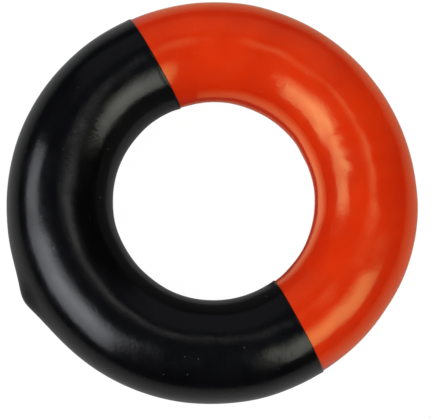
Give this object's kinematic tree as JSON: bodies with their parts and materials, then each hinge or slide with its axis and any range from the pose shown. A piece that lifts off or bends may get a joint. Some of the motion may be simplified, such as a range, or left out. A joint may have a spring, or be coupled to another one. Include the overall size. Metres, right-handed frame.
{
  "type": "ring weight",
  "caption": "Solid ring weight with a clear round hole: a cast ring under a glossy orange vinyl dip, with a black second dip over half of it that ends in a set drip.",
  "frame": {"origin": "centre of the ring: on the hole's axis, half way up the ring's height", "axes": "+Z along the hole's axis; X and Y across the ring, with the set drip on the rim at azimuth 208.2 degrees, between -X and -Y"},
  "size_m": [0.1023, 0.1021, 0.0258],
  "materials": {
    "cast_iron": "sand cast, dark grey, dull, with a ground gate mark",
    "orange_vinyl": "dipped soft vinyl, glossy, softly lumpy",
    "black_vinyl": "dipped soft vinyl, glossy, softly lumpy, with a drip and a few pits"
  },
  "bodies": {
    "root": {"iron_core": "cast_iron", "orange_coat": "orange_vinyl", "black_coat": "black_vinyl"}
  },
  "joints": []
}
